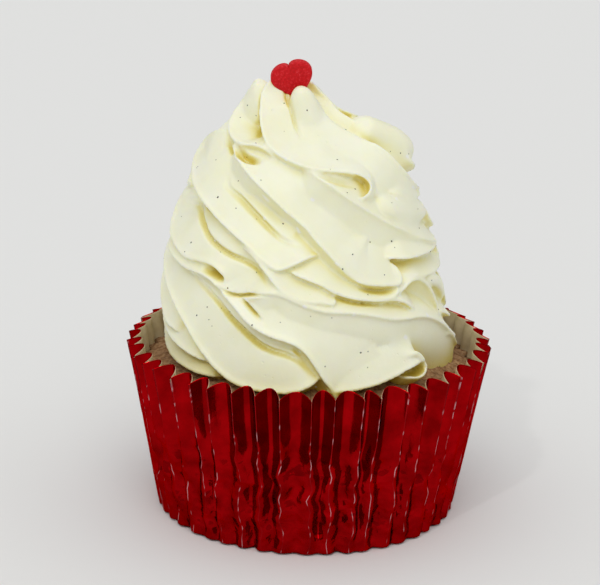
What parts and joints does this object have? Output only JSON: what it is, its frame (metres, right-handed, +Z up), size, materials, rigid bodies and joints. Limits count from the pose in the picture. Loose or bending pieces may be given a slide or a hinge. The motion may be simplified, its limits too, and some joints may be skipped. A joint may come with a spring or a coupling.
{
  "type": "cupcake",
  "caption": "Cupcake in a pleated red foil case, with a tall piped swirl of pale vanilla icing and a small red sugar heart on top.",
  "frame": {"origin": "centre of the underside of the foil case, on the surface it stands on", "axes": "+Z up through the cake, -Y towards the front, +X to the right as seen from the front"},
  "size_m": [0.0678, 0.068, 0.0855],
  "materials": {
    "red_foil": "bright pleated foil, greaseproof paper inside",
    "cake_crumb": "matt brown sponge crumb",
    "vanilla_icing": "satin pale cream icing with dark vanilla specks",
    "sugar": "matt grainy pressed sugar"
  },
  "bodies": {
    "root": {"foil_case": "red_foil", "cake": "cake_crumb", "frosting": "vanilla_icing", "heart": "sugar"}
  },
  "joints": []
}
